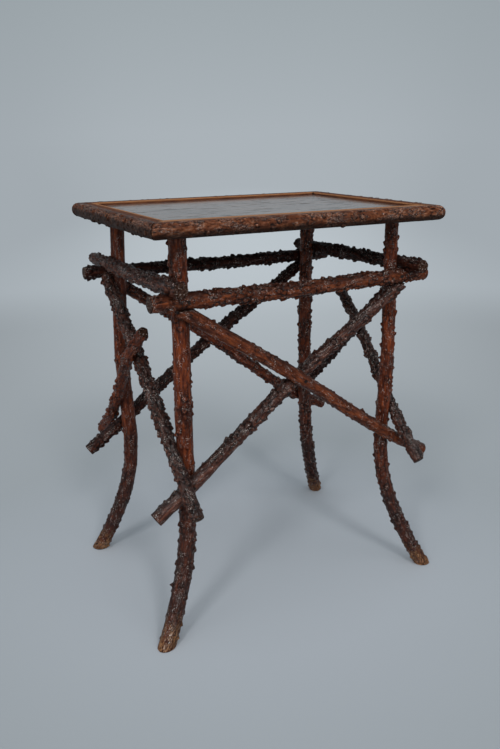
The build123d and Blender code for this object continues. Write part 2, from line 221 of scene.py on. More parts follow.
world = bpy.data.worlds.new("studio")
world.use_nodes = True
sky = world.node_tree
way = add_node(sky, "ShaderNodeTexCoord", {}).outputs["Generated"]
steepness = add_node(sky, "ShaderNodeSeparateXYZ", {0: way}).outputs["Z"]
rise = add_node(sky, "ShaderNodeMapRange", {"Value": steepness, "From Min": 0.0, "From Max": HIGH_FROM})
glow_share = straight_ahead(sky, way)
low_sky, high_sky = (
    add_node(sky, "ShaderNodeMix", {
        SHARE: glow_share, FIRST: to_linear(plain), SECOND: to_linear(glowing),
    }, data_type="RGBA")
    for plain, glowing in ((PAPER_FAR, PAPER_GLOW), (PAPER_HIGH, HAZE_GLOW))
)
sky_colour = add_node(sky, "ShaderNodeMix", {
    SHARE: rise.outputs["Result"], FIRST: low_sky.outputs[MIXED], SECOND: high_sky.outputs[MIXED],
}, data_type="RGBA")
background = sky.nodes["Background"]
background.inputs["Strength"].default_value = 1.0
sky.links.new(sky_colour.outputs[MIXED], background.inputs["Color"])
bpy.context.scene.world = world
bpy.context.scene.view_settings.view_transform = "Standard"
print("nodes in the world:", len(sky.nodes))

# %% Paper floor
FLOOR_RADIUS = 60
FLOOR_SIDES = 64
RING_SIZES = (0.5, 1.0, 2.0, 4.0, 8.0, FLOOR_RADIUS)

around_floor = [2 * math.pi * i / FLOOR_SIDES for i in range(FLOOR_SIDES)]
floor_corners = [(r * math.cos(a), r * math.sin(a), 0.0) for r in RING_SIZES for a in around_floor]
floor_faces = [tuple(range(FLOOR_SIDES))]
for ring in range(len(RING_SIZES) - 1):
    inner, outer = ring * FLOOR_SIDES, (ring + 1) * FLOOR_SIDES
    for i in range(FLOOR_SIDES):
        j = (i + 1) % FLOOR_SIDES
        floor_faces.append((inner + i, outer + i, outer + j, inner + j))
floor_mesh = bpy.data.meshes.new("floor")
floor_mesh.from_pydata(floor_corners, [], floor_faces)
floor = bpy.data.objects.new("floor", floor_mesh)
bpy.context.scene.collection.objects.link(floor)
print("floor radius in metres:", FLOOR_RADIUS)

# %% Tones of the paper
# Each pair of distances from the middle of the table, in metres, is a stretch over which one
# tone turns into the next.
# over this stretch the paper turns into its painted shade
PAPER_STEP = (0.35, 0.7)  # the paper's own colour
LIT_TO_GLOWING = (0.45, 1.6)  # from lit paper to paper that glows
DIM_TO_FAR = (2.2, 3.4)  # from the dim tone to the far one
# the painted pool of light: its middle, its size and where it fades out, in metres
POOL_MIDDLE = (2.3, 4.4, 0.0)
POOL_SIZE = (1.6, 5.7, 1.0)  # its half width and, the way the camera heads, its half length
POOL_EDGE = 1.3  # where it fades out, in half sizes

paper, tree = new_material("seamless_paper")
spot = add_node(tree, "ShaderNodeTexCoord", {}).outputs["Object"]
reach = add_node(tree, "ShaderNodeVectorMath", {0: spot}, operation="LENGTH").outputs["Value"]
step_share, glowing_share, far_share = (
    add_node(tree, "ShaderNodeMapRange", {
        "Value": reach, "From Min": start, "From Max": end,
    }, interpolation_type=change).outputs["Result"]
    for (start, end), change in (
        (PAPER_STEP, "LINEAR"), (LIT_TO_GLOWING, "SMOOTHSTEP"), (DIM_TO_FAR, "SMOOTHSTEP"),
    )
)
from_pool = add_node(tree, "ShaderNodeMapping", {
    "Vector": spot, "Location": POOL_MIDDLE, "Rotation": (0.0, 0.0, -CAMERA_YAW), "Scale": POOL_SIZE,
}, vector_type="TEXTURE")
from_middle = add_node(tree, "ShaderNodeVectorMath", {0: from_pool.outputs["Vector"]}, operation="LENGTH")
painted_pool = add_node(tree, "ShaderNodeMapRange", {
    "Value": from_middle.outputs["Value"], "From Min": POOL_EDGE, "From Max": 0.0,
}, interpolation_type="SMOOTHSTEP")

# %% Seamless paper
lit_colour = add_node(tree, "ShaderNodeMix", {
    SHARE: step_share, FIRST: to_linear(PAPER), SECOND: to_linear(PAPER_SHADED_BEHIND),
}, data_type="RGBA")
far_colour = add_node(tree, "ShaderNodeMix", {
    SHARE: straight_ahead(tree, spot), FIRST: to_linear(PAPER_FAR), SECOND: to_linear(PAPER_GLOW),
}, data_type="RGBA")
dim_colour = add_node(tree, "ShaderNodeMix", {
    SHARE: far_share, FIRST: to_linear(PAPER_DIM), SECOND: far_colour.outputs[MIXED],
}, data_type="RGBA")
glow_colour = add_node(tree, "ShaderNodeMix", {
    SHARE: painted_pool.outputs["Result"], FIRST: dim_colour.outputs[MIXED], SECOND: to_linear(PAPER_PAINTED_POOL),
}, data_type="RGBA")
matt = add_node(tree, "ShaderNodeBsdfDiffuse", {"Color": lit_colour.outputs[MIXED]})
glow = add_node(tree, "ShaderNodeEmission", {"Color": glow_colour.outputs[MIXED], "Strength": 1.0})
both = add_node(tree, "ShaderNodeMixShader", {
    0: glowing_share, 1: matt.outputs["BSDF"], 2: glow.outputs["Emission"],
})
add_node(tree, "ShaderNodeOutputMaterial", {"Surface": both.outputs["Shader"]})
floor_mesh.materials.append(paper)
print("nodes in the paper:", len(tree.nodes))

# %% [markdown]
# ## Reading a branch
#
# A packed branch is a plain rod with a flat wherever a neighbour lies on it. To dress it, the
# script has to know where its middle runs and how its two ends are sawn. It could be told all
# that a second time, but the rod itself knows: each end is a flat face, and a thin slice
# anywhere between them has a middle. Joined up and smoothed, those middles are the heart of
# the branch.

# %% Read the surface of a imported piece
def surface_of(node):
    """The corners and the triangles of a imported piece, as arrays."""
    mesh = nodes[node].data
    mesh.calc_loop_triangles()
    corners = np.empty(len(mesh.vertices) * 3, np.float32)
    mesh.vertices.foreach_get("co", corners)
    triangles = np.empty(len(mesh.loop_triangles) * 3, np.int32)
    mesh.loop_triangles.foreach_get("vertices", triangles)
    return corners.reshape(-1, 3).astype(float), triangles.reshape(-1, 3)


surfaces = {name: surface_of(name) for name in nodes}
print("triangles in the packed model:", sum(len(t) for _, t in surfaces.values()))

# %% Find a sawn end
END_DEPTH = 0.05  # the flat lies no further than this from the tip
FACING_OUT = 0.45  # and faces along the branch at least this squarely


def sawn_end(corners, triangles, outwards):
    """The middle and the facing of the flat that ends a branch: the largest one there."""
    a, b, c = (corners[triangles[:, i]] for i in range(3))
    normals = np.cross(b - a, c - a)
    areas = np.linalg.norm(normals, axis=1) / 2 + 1e-15
    normals = normals / (2 * areas[:, None])
    middles = (a + b + c) / 3
    reach = middles @ outwards
    here = (reach > reach.max() - END_DEPTH) & (normals @ outwards > FACING_OUT)
    group = np.unique(np.round(normals[here], 2) + 0.0, axis=0, return_inverse=True)[1].ravel()
    picked = group == np.argmax(np.bincount(group, areas[here]))
    share = areas[here][picked] / areas[here][picked].sum()
    facing = share @ normals[here][picked]
    return share @ middles[here][picked], facing / np.linalg.norm(facing)


left_end, left_facing = sawn_end(*surfaces["rail_front"], np.array([-1.0, 0.0, 0.0]))
print("left end of the front rail, in metres:", left_end.round(3), "facing", left_facing.round(2))

# %% Find the middle line
SLICE_STEP = 0.006
SLICE_MARGIN = 0.02  # no slices this close to an end, where the saw may have cut askew
LINE_REACH = 4


def middle_of_slice(points):
    """The middle of the area inside a ring of points in a plane."""
    hull = points[convex_hull_2d([Vector(p) for p in points])]
    ahead = np.roll(hull, -1, axis=0)
    cross = hull[:, 0] * ahead[:, 1] - ahead[:, 0] * hull[:, 1]
    return ((hull + ahead) * cross[:, None]).sum(0) / (3 * cross.sum())


def smoothed(line, reach):
    """A line of points or numbers, smoothed over so many neighbours, with its ends kept."""
    before = 2 * line[:1] - line[reach:0:-1]
    after = 2 * line[-1:] - line[-2:-reach - 2:-1]
    padded = np.concatenate([before, line, after])
    weights = np.concatenate([np.arange(1, reach + 2), np.arange(reach, 0, -1)])
    weights = weights / weights.sum()
    return sum(w * padded[i:i + len(line)] for i, w in enumerate(weights))


def middle_line(corners, triangles):
    """Points along the heart of a piece, and the facings of its two sawn ends."""
    heading = np.linalg.svd(corners - corners.mean(0), full_matrices=False)[2][0]
    (first, first_facing), (last, last_facing) = (
        sawn_end(corners, triangles, heading * way) for way in (-1, 1)
    )
    side = np.cross(heading, np.roll(heading, 1))
    side /= np.linalg.norm(side)
    up_side = np.cross(heading, side)
    edges = np.vstack([triangles[:, [0, 1]], triangles[:, [1, 2]], triangles[:, [2, 0]]])
    stations = np.arange(first @ heading + SLICE_MARGIN, last @ heading - SLICE_MARGIN, SLICE_STEP)
    middles = []
    for station in stations:
        above = corners @ heading - station
        p, q = edges[above[edges[:, 0]] * above[edges[:, 1]] < 0].T
        share = above[p] / (above[p] - above[q])
        cuts = corners[p] + (corners[q] - corners[p]) * share[:, None]
        across, upwards = middle_of_slice(np.stack([cuts @ side, cuts @ up_side], axis=1))
        middles.append(heading * station + side * across + up_side * upwards)
    line = smoothed(np.array([first, *middles, last]), LINE_REACH)
    return line, first_facing, last_facing


print("slices through the front rail:", len(middle_line(*surfaces["rail_front"])[0]) - 2)

# %% [markdown]
# ## Wrapping a skin around a branch
#
# The skin is a net of rings and columns, like a stocking: each ring is a circle of points
# around the heart of the branch. A ray from outside towards the heart tells each point how
# far out the rod's surface is, so the skin follows the rod's taper, its flats and its cut
# twigs. At a sawn end the rings lean over until they lie in the plane of the cut. A net like
# this is easier to carve than a loose cloud of triangles, because its rows run with the grain.

# %% Steady and fill a net of radii
def shifted(net, rows, columns):
    """A net moved by so many rings and columns. Columns go round, rings stop at the ends."""
    picked = np.clip(np.arange(len(net)) + rows, 0, len(net) - 1)
    return np.roll(net[picked], -columns, axis=1)


def filled(net, reach):
    """A net with its pits filled that are narrower than twice the reach, such as nail holes."""
    for pick in (np.maximum, np.minimum):
        for rows, columns in ((1, 0), (0, 1)):
            best = net
            for i in range(1, reach + 1):
                best = pick(best, shifted(net, i * rows, i * columns))
                best = pick(best, shifted(net, -i * rows, -i * columns))
            net = best
    return net


def softened(net, reach):
    """A net in which each point is the mean of its neighbours in both directions."""
    for rows, columns in ((1, 0), (0, 1)):
        net = sum(shifted(net, i * rows, i * columns) for i in range(-reach, reach + 1))
        net = net / (2 * reach + 1)
    return net


def eased(value, low, high):
    """0 below low, 1 above high, and a smooth step between."""
    share = np.clip((value - low) / (high - low), 0, 1)
    return share * share * (3 - 2 * share)


pitted = np.ones((9, 9))
pitted[4, 4] = 0
print("the depth of a small pit, filled:", 1 - filled(pitted, 1)[4, 4])

# %% Wrap a piece
RING_PITCH = 0.0014
HEART_REACH = 6
THICKEST = 1.3  # the largest radius of a branch against its radius half way
LEAN_REACH = 2.2  # how far the rings lean from an end, in largest radii
CAST_FROM = 4.4  # how far out the rays start, in radii
END_INSET = 0.0004  # the last rays run this deep inside the cut, to hit the bark for certain


class Skin:
    """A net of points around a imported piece, in rings along it and columns around it."""

    def __init__(self, node, columns):
        corners, triangles = surfaces[node]
        line, first_facing, last_facing = middle_line(corners, triangles)
        lengths = np.concatenate([[0], np.cumsum(np.linalg.norm(np.diff(line, axis=0), axis=1))])
        self.rings = round(lengths[-1] / RING_PITCH)
        self.columns = columns
        self.arcs = np.linspace(0, lengths[-1], self.rings)
        self.turns = 2 * np.pi * np.arange(columns) / columns
        even = np.stack([np.interp(self.arcs, lengths, line[:, i]) for i in range(3)], axis=1)
        self.heart = smoothed(even, HEART_REACH)
        ways = smoothed(np.gradient(self.heart, axis=0), HEART_REACH)
        self.ways = ways / np.linalg.norm(ways, axis=1)[:, None]
        self.spokes = self.level_spokes()
        radius = np.sqrt(((corners - self.heart[len(self.heart) // 2]) ** 2).sum(1).min())
        self.lean(first_facing, self.arcs, LEAN_REACH * THICKEST * radius)
        self.lean(last_facing, self.arcs[-1] - self.arcs, LEAN_REACH * THICKEST * radius)
        self.radii = self.cast(corners, triangles, CAST_FROM * radius)
        self.girth = 2 * np.pi * float(np.median(self.radii))

    def level_spokes(self):
        """Directions square to the heart, in columns that don't twist along the branch."""
        is_steep = abs(self.ways[0][2]) >= 0.8
        first_side = np.cross(self.ways[0], (0.2, 1.0, 0.1) if is_steep else (0.1, 0.2, 1.0))
        side = first_side - self.ways * (self.ways @ first_side)[:, None]
        side /= np.linalg.norm(side, axis=1)[:, None]
        up_side = np.cross(self.ways, side)
        return (np.cos(self.turns)[None, :, None] * side[:, None, :]
                + np.sin(self.turns)[None, :, None] * up_side[:, None, :])

    def lean(self, facing, distance, reach):
        """Lean the spokes near an end until they lie in the plane of its cut."""
        share = eased(1 - distance / reach, 0, 1)
        tilt = -(self.spokes @ facing) / (self.ways @ facing)[:, None]
        self.spokes = self.spokes + (share[:, None] * tilt)[:, :, None] * self.ways[:, None, :]

    def cast(self, corners, triangles, out):
        """How far out the surface is along each spoke, found by rays that start further out."""
        tree = BVHTree.FromPolygons(corners.tolist(), triangles.tolist())
        inset = np.zeros(self.rings)
        inset[0], inset[-1] = END_INSET, -END_INSET
        roots = self.heart + self.ways * inset[:, None]
        radii = np.full((self.rings, self.columns), np.nan)
        for i in range(self.rings):
            for j in range(self.columns):
                spoke = Vector(self.spokes[i, j])
                hit = tree.ray_cast(Vector(roots[i]) + spoke * out, -spoke, out * spoke.length)
                if hit[0] is not None:
                    radii[i, j] = out - hit[3] / spoke.length
        return np.where(np.isnan(radii), np.nanmedian(radii), radii)

    def points(self):
        """The points of the net, ring by ring."""
        return self.heart[:, None, :] + self.radii[:, :, None] * self.spokes

    def straight(self):
        """Where each point would lie if the branch were straight: its grain runs along X."""
        return np.stack([
            np.broadcast_to(self.arcs[:, None], self.radii.shape),
            self.radii * np.cos(self.turns)[None, :],
            self.radii * np.sin(self.turns)[None, :],
        ], axis=2)


print("rings stand", RING_PITCH * 1000, "mm apart")

# %% [markdown]
# ## Carving the bark
#
# Bark like this has three sizes of relief. The branch itself swells and sinks over a few
# centimetres. Ridges, a few millimetres wide, run with the grain. And everywhere there are the
# stubs of thorns and twigs that were trimmed off: flat-topped, longer than wide, steep on the
# side towards the tip. A displacement modifier with a noise texture gives relief of one kind
# in all directions. Carving the net with arrays lets each kind have its own length and width
# along the grain, and it keeps the bark off the flats where two branches meet.

# %% Relief of bark
MM = 0.001


def swells(seed, skin, long, wide, wander=0.0):
    """Smooth relief from -1 to 1 in lumps that are so long along the grain and so wide."""
    random = np.random.default_rng(seed)
    cells = max(3, round(skin.girth / wide))
    lattice = random.uniform(-1, 1, (math.ceil(skin.arcs[-1] / long) + 4, cells))
    row = skin.arcs[:, None] / long + 1 + random.uniform(0, 1)
    cell = np.arange(skin.columns)[None, :] * cells / skin.columns + wander / wide
    i, j = np.floor(row).astype(int), np.floor(cell).astype(int)
    u, v = eased(row - i, 0, 1), eased(cell - j, 0, 1)
    first = lattice[i, j % cells] * (1 - v) + lattice[i, (j + 1) % cells] * v
    second = lattice[i + 1, j % cells] * (1 - v) + lattice[i + 1, (j + 1) % cells] * v
    return first * (1 - u) + second * u


def bark_relief(seed, skin, knobbly):
    """Swellings, ridges and warts, in metres. Knobbly goes from 0, smooth, to 1, all lumps.

    Each kind of relief has its height in millimetres in front, and then its length and width.
    """
    wander = 3 * MM * swells(seed + 1, skin, 40 * MM, 25 * MM)
    swelling = 0.45 * swells(seed + 2, skin, 16 * MM, 9 * MM, wander)
    ridges = (0.14 + 0.42 * knobbly) * swells(seed + 3, skin, (20 - 13 * knobbly) * MM, 3.6 * MM, wander)
    fine = (0.08 + 0.1 * knobbly) * swells(seed + 4, skin, 6 * MM, 1.9 * MM, wander)
    warts = (0.9 + 0.8 * knobbly) * np.clip(swells(seed + 5, skin, 3.8 * MM, 3.6 * MM) - 0.45, 0, 1)
    return MM * (swelling + ridges + fine + warts - 0.25)


# %% Places for the stubs of thorns
NO_STUB_NEAR_END = 5 * MM
TRIES = 7  # how many places are tried for each one that would fit


def thorn_places(random, skin, pitch, is_clear, bare):
    """Places for stubs that keep their distance from each other, the joints and the bare parts."""
    column_width = skin.girth / skin.columns
    places = []
    crowd = swells(random.integers(1000), skin, 75 * MM, 45 * MM) - bare
    for _ in range(int(TRIES * skin.arcs[-1] * skin.girth / pitch**2)):
        arc = random.uniform(NO_STUB_NEAR_END, skin.arcs[-1] - NO_STUB_NEAR_END)
        turn = random.uniform(0, skin.girth)
        ring = int(arc / skin.arcs[-1] * (skin.rings - 1))
        column = int(turn / column_width) % skin.columns
        if not is_clear[ring, column] or crowd[ring, column] < random.uniform(-1.0, 0.1):
            continue
        apart = np.array([
            math.hypot(arc - a, min(abs(turn - t), skin.girth - abs(turn - t))) for a, t in places
        ])
        if not len(apart) or apart.min() > random.uniform(0.5, 1.0) * pitch:
            places.append((arc, turn))
    return places


# %% Stubs of thorns
STUB_REACH = 12 * MM  # the part of the net that one stub can change
LOWEST_STUB = 0.25  # of the branch's usual height
MOSTLY_LOW = 1.4  # the higher, the rarer the tall ones
STUB_WIDTHS = (2.4, 4.1)  # in millimetres, for a stub 3 mm tall
STEEP_SIDE, GENTLE_SIDE = (0.8, 1.1), (1.1, 1.8)  # how far its two sides run out, in widths
FLANK_END, FLANK_WIDTHS = 1.5, (0.75, 1.1)  # where its flank ends and how wide that is
LOBE_COUNT, LOBE_DEPTH = 3, 0.12  # the outline is a little three-cornered
SLANT = 0.28  # the cut slopes down from the steep side
PITH_DEPTHS, PITH_RADIUS = (0, 0.2), 0.3  # the soft pith in the middle has sunk


def thorn_stub(random, skin, arc, turn, height, way):
    """One stub: the part of the net around it, its height there and how much of it is stub."""
    tall = height * (LOWEST_STUB + random.uniform(0, 1) ** MOSTLY_LOW)
    wide = random.uniform(*STUB_WIDTHS) * MM * (0.6 + 0.4 * tall / (3 * MM))
    steep, gentle = random.uniform(*STEEP_SIDE) * wide, random.uniform(*GENTLE_SIDE) * wide
    column_width = skin.girth / skin.columns
    rings = np.where(np.abs(skin.arcs - arc) < STUB_REACH)[0]
    middle, span = round(turn / column_width), round(STUB_REACH / column_width)
    columns = np.arange(middle - span, middle + span + 1)
    along = (skin.arcs[rings] - arc)[:, None] * way
    around = (columns * column_width - turn)[None, :]
    far = np.hypot(along / np.where(along > 0, steep, gentle), around / (0.9 * wide))
    lobes = LOBE_DEPTH * np.sin(LOBE_COUNT * np.arctan2(around, along) + arc * 900)
    far = far * (1 + lobes)
    full = eased((FLANK_END - far) / random.uniform(*FLANK_WIDTHS), 0, 1)
    slant = 1 + SLANT * np.clip(along / wide, -1, 1)
    pith = random.uniform(*PITH_DEPTHS) * np.exp(-((far / PITH_RADIUS) ** 2))
    return np.ix_(rings, columns % skin.columns), tall * full * (slant - pith), full


def thorn_stubs(seed, skin, pitch, height, is_clear, bare=0.0):
    """The height of all stubs over the net, in metres, how much each point is stub, and their number."""
    random = np.random.default_rng(seed)
    raised, share = np.zeros_like(skin.radii), np.zeros_like(skin.radii)
    places = thorn_places(random, skin, pitch, is_clear, bare)
    way = random.choice([-1, 1])
    for arc, turn in places:
        block, bump, full = thorn_stub(random, skin, arc, turn, height, way)
        raised[block] = np.maximum(raised[block], bump)
        share[block] = np.maximum(share[block], full)
    return raised, share, len(places)


# %% Keep clear of the neighbours
JOINT_CLEAR = 0.010
NEIGHBOUR_MARGIN = 0.02


def clearance(node, points):
    """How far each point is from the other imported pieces, up to the joint clearance."""
    neighbours = [surfaces[name] for name in nodes if name != node and "nails" not in name]
    low, high = points.min((0, 1)) - NEIGHBOUR_MARGIN, points.max((0, 1)) + NEIGHBOUR_MARGIN
    trees = []
    for corners, triangles in neighbours:
        if (corners.min(0) < high).all() and (corners.max(0) > low).all():
            trees.append(BVHTree.FromPolygons(corners.tolist(), triangles.tolist()))
    gaps = np.full(points.shape[:2], JOINT_CLEAR)
    for i in range(points.shape[0]):
        for j in range(points.shape[1]):
            for tree in trees:
                found = tree.find_nearest(points[i, j], gaps[i, j])
                if found[3] is not None:
                    gaps[i, j] = found[3]
    return gaps


# %% [markdown]
# ## From net to mesh
#
# The net becomes a mesh of four-sided faces, closed at both ends by a sawn disc. The rim of
# the disc is eased a little, as sandpaper leaves it. Some numbers travel with every point of
# the net, for the materials to read, such as how much it is a stub and how deep it lies in a
# hollow. Every point also carries the place where it would lie if the branch were straight,
# so that grain can follow a bent branch.

# %% Sawn discs
RIM_EASE = 0.0015
# How far out each ring of a disc lies, as a share of its rim, and how deep in the wood.
DISC_RINGS = ((0.955, 0.00045), (0.89, 0.0001), (0.75, 0), (0.55, 0), (0.36, 0), (0.16, 0))
SAW_MARKS = 0.0002


def sawn_disc(random, skin, ring, inwards):
    """The points that close the net at a ring, and where they would lie in a straight branch."""
    corners, places = [], []
    for share, depth in DISC_RINGS:
        radii = skin.radii[ring][:, None] * share
        dent = (depth + random.uniform(0, SAW_MARKS, (skin.columns, 1))) * inwards
        corners.append(skin.heart[ring] + radii * skin.spokes[ring] + dent)
        places.append(np.stack([
            np.full(skin.columns, skin.arcs[ring]),
            radii[:, 0] * np.cos(skin.turns),
            radii[:, 0] * np.sin(skin.turns),
        ], axis=1))
    corners.append(skin.heart[ring][None])
    places.append(np.array([[skin.arcs[ring], 0, 0]]))
    return np.concatenate(corners), np.concatenate(places)


def disc_faces(rim, first, columns, is_first):
    """Four-sided faces from a rim in to a disc's last ring, and a fan from there to its middle."""
    column = np.arange(columns)
    ahead = (column + 1) % columns
    quads = []
    for _ in DISC_RINGS:
        quads.append(np.stack([rim + column, first + column, first + ahead, rim + ahead], axis=1))
        rim, first = first, first + columns
    fan = np.stack([rim + column, np.full(columns, first), rim + ahead], axis=1)
    quads = np.concatenate(quads)
    return (quads, fan) if is_first else (quads[:, ::-1], fan[:, ::-1])


# %% Build a piece from its skin
LOW_CORNER, HIGH_CORNER = (np.array(corner) for corner in cad_box)


def net_faces(rings, columns):
    """The four-sided faces of a net."""
    column = np.arange(columns)
    ahead = (column + 1) % columns
    start = np.arange(rings - 1)[:, None] * columns
    return np.stack([
        start + column, start + ahead, start + columns + ahead, start + columns + column,
    ], axis=2).reshape(-1, 4)


def build_piece(name, skin, numbers, materials):
    """A mesh object from a skin, with a sawn disc at each end and its numbers at every point."""
    rings, columns = skin.rings, skin.columns
    points = skin.points()
    points[0] += skin.ways[0] * RIM_EASE
    points[-1] -= skin.ways[-1] * RIM_EASE
    corners, places = [points.reshape(-1, 3)], [skin.straight().reshape(-1, 3)]
    quads, fans = [net_faces(rings, columns)], []
    random = np.random.default_rng(len(name))
    count = rings * columns
    for ring, inwards, is_first in ((0, skin.ways[0], True), (rings - 1, -skin.ways[-1], False)):
        disc_corners, disc_places = sawn_disc(random, skin, ring, inwards)
        disc_quads, fan = disc_faces(ring * columns, count, columns, is_first)
        corners.append(disc_corners)
        places.append(disc_places)
        quads.append(disc_quads)
        fans.append(fan)
        count += len(disc_corners)
    mesh = bpy.data.meshes.new(name)
    all_corners = np.clip(np.concatenate(corners), LOW_CORNER, HIGH_CORNER)
    all_faces = np.concatenate(quads).tolist() + np.concatenate(fans).tolist()
    mesh.from_pydata(all_corners.tolist(), [], all_faces)
    for material in materials:
        mesh.materials.append(material)
    is_disc = np.arange(len(mesh.polygons)) >= (rings - 1) * columns
    mesh.polygons.foreach_set("material_index", is_disc.astype(np.int32))
    mesh.polygons.foreach_set("use_smooth", ~is_disc)
    place = mesh.attributes.new("straight", "FLOAT_VECTOR", "POINT")
    place.data.foreach_set("vector", np.concatenate(places).astype(np.float32).ravel())
    for key, net in numbers.items():
        values = np.zeros(count, np.float32)
        values[:net.size] = net.ravel()
        mesh.attributes.new(key, "FLOAT", "POINT").data.foreach_set("value", values)
    piece = bpy.data.objects.new(name, mesh)
    bpy.context.scene.collection.objects.link(piece)
    return piece


print("rings in a sawn disc:", len(DISC_RINGS))

# %% [markdown]
# ## Bark under varnish
#
# The bark is left on and brushed with several coats of dark shellac or oil varnish. That gives
# the eye three things: brown bark that runs from nearly black in the hollows to orange on the
# high spots, which are rubbed and carry painted highlights, fine streaks along the grain, and
# over it all a clear wet-looking film with small bright highlights. Pale glints are painted into
# the colour as well, and painted shade darkens the joints and the upper side of level branches.
# A wood picture could be wrapped around the mesh, but it would show seams and repeats. Noise
# that is read in the straightened place of each point, and stretched along it, gives streaks
# that follow every bend. The colours are then built up as a painter does, in thin layers over a
# ramp. The film is the shader's coat. Varnish bends light about as much as glass does.

# %% Patterns and layers
ALL, KEPT = (0.0, 1.0), (0.0, 1.0)  # a pattern read over its whole range, and one left as it is


def grain_noise(tree, straight, width, length, detail, seed):
    """Noise in patches so many millimetres wide across the grain and so long along it."""
    width, length = width * MM, length * MM
    stretched = add_node(tree, "ShaderNodeVectorMath", {
        0: straight, 1: (width / length, 1.0, 1.0), 2: (seed, seed, seed),
    }, operation="MULTIPLY_ADD")
    noise = add_node(tree, "ShaderNodeTexNoise", {
        "Vector": stretched.outputs["Vector"], "Scale": 1 / width, "Detail": detail, "Roughness": 0.6,
    })
    return noise.outputs["Fac"]


def overlap(tree, *patterns):
    """Two patterns multiplied, so that both have to be strong.

    Each is given with the levels that it is read between and the levels that those become.
    """
    first, second = (
        add_node(tree, "ShaderNodeMapRange", {
            "Value": pattern, "From Min": low, "From Max": high, "To Min": start, "To Max": end,
        }).outputs["Result"]
        for pattern, (low, high), (start, end) in patterns
    )
    return add_node(tree, "ShaderNodeMath", {0: first, 1: second}, operation="MULTIPLY").outputs["Value"]


def painted(tree, colour, layers):
    """A colour with layers brushed over it in turn.

    Each layer is a pattern, the levels between which it comes in, its cover and its colour.
    """
    for pattern, (low, high), cover, hex_colour in layers:
        share = add_node(tree, "ShaderNodeMapRange", {
            "Value": pattern, "From Min": low, "From Max": high, "To Min": 0.0, "To Max": cover,
        })
        colour = add_node(tree, "ShaderNodeMix", {
            SHARE: share.outputs["Result"], FIRST: colour, SECOND: to_linear(hex_colour),
        }, data_type="RGBA").outputs[MIXED]
    return colour


# %% Varnished bark
# Width and length in millimetres, detail and seed of each pattern. Streaks are drawn coarser
# than the fibres of real bark, which are too fine to show. The specks, where pale glints are
# painted, are drawn coarser than glints would be.
BARK_PATTERNS = {
    "grain": (4.5, 24, 4, 0.3),
    "streaks": (1.1, 9, 3, 1.7),
    "specks": (1.5, 1.5, 2, 2.9),
    "blotches": (22, 75, 3, 4.1),
    "pebbles": (2.4, 3.2, 2, 6.2),
    "clusters": (9, 22, 2, 9.5),
}
SHADE_AND_DIRT_COLOUR = "#1e1716"
# pale glints painted into the colour of the bark
PAINTED_GLINT_COLOUR = "#d0c4bc"
BARE_WOOD_COLOUR = "#92653f"
VARNISH_IOR = 1.5


def varnished_bark(name, film, hollow, dark, middle, light):
    """Bark with the strength of its film, and its colours from the deepest hollow to the light."""
    material, tree = new_material(name)
    straight = add_node(tree, "ShaderNodeAttribute", {}, attribute_name="straight").outputs["Vector"]
    stub, depth, worn, shade_and_dirt = (
        add_node(tree, "ShaderNodeAttribute", {}, attribute_name=number).outputs["Fac"]
        for number in ("stub", "hollow", "worn", "shade_and_dirt")
    )
    grain, streaks, specks, blotches, pebbles, clusters = (
        grain_noise(tree, straight, *sizes) for sizes in BARK_PATTERNS.values()
    )
    ramp = add_node(tree, "ShaderNodeValToRGB", {"Fac": grain}, stops=(
        (0.3, dark), (0.48, middle), (0.7, light),
    ))
    crown_wear_and_highlight = overlap(tree, (stub, ALL, KEPT), (pebbles, (0.48, 0.62), KEPT))
    painted_glints = overlap(tree, (specks, (0.6, 0.66), KEPT), (clusters, (0.5, 0.6), KEPT))
    rubbed = overlap(tree, (worn, ALL, KEPT), (pebbles, (0.42, 0.58), KEPT))
    colour = painted(tree, ramp.outputs["Color"], (
        (streaks, (0.54, 0.7), 0.45, light),  # pale fibres
        (streaks, (0.46, 0.34), 0.35, dark),  # and dark ones between them
        (blotches, (0.52, 0.64), 0.7, dark),  # stretches where the varnish pooled
        (stub, (0.1, 0.9), 0.5, dark),
        # the crowns of the stubs: rubbed, and with painted highlights
        (crown_wear_and_highlight, (0.2, 1.0), 0.6, light),
        # painted shade and dirt in the joints, painted shade on upper sides, darker low on the legs
        (shade_and_dirt, ALL, 0.9, SHADE_AND_DIRT_COLOUR),
        (depth, (0.1, 0.8), 0.9, hollow),
        # pale glints painted into the colour
        (painted_glints, ALL, 0.8, PAINTED_GLINT_COLOUR),
        (rubbed, ALL, 1.0, BARE_WOOD_COLOUR),  # the worn soles of the feet
    ))
    fibres = add_node(tree, "ShaderNodeBump", {"Height": streaks, "Strength": 0.5, "Distance": 0.0006})
    beads = add_node(tree, "ShaderNodeBump", {"Height": pebbles, "Strength": 0.8, "Distance": 0.0016})
    wet = add_node(tree, "ShaderNodeMapRange", {
        "Value": pebbles, "From Min": 0.48, "From Max": 0.62, "To Min": 0.1 * film, "To Max": 1.6 * film,
    })
    shader = add_node(tree, "ShaderNodeBsdfPrincipled", {
        "Base Color": colour, "Roughness": 0.6, "IOR": VARNISH_IOR, "Specular IOR Level": 0.05,
        "Normal": fibres.outputs["Normal"], "Coat Weight": wet.outputs["Result"],
        "Coat Roughness": 0.1, "Coat IOR": VARNISH_IOR, "Coat Normal": beads.outputs["Normal"],
    })
    add_node(tree, "ShaderNodeOutputMaterial", {"Surface": shader.outputs["BSDF"]})
    return material


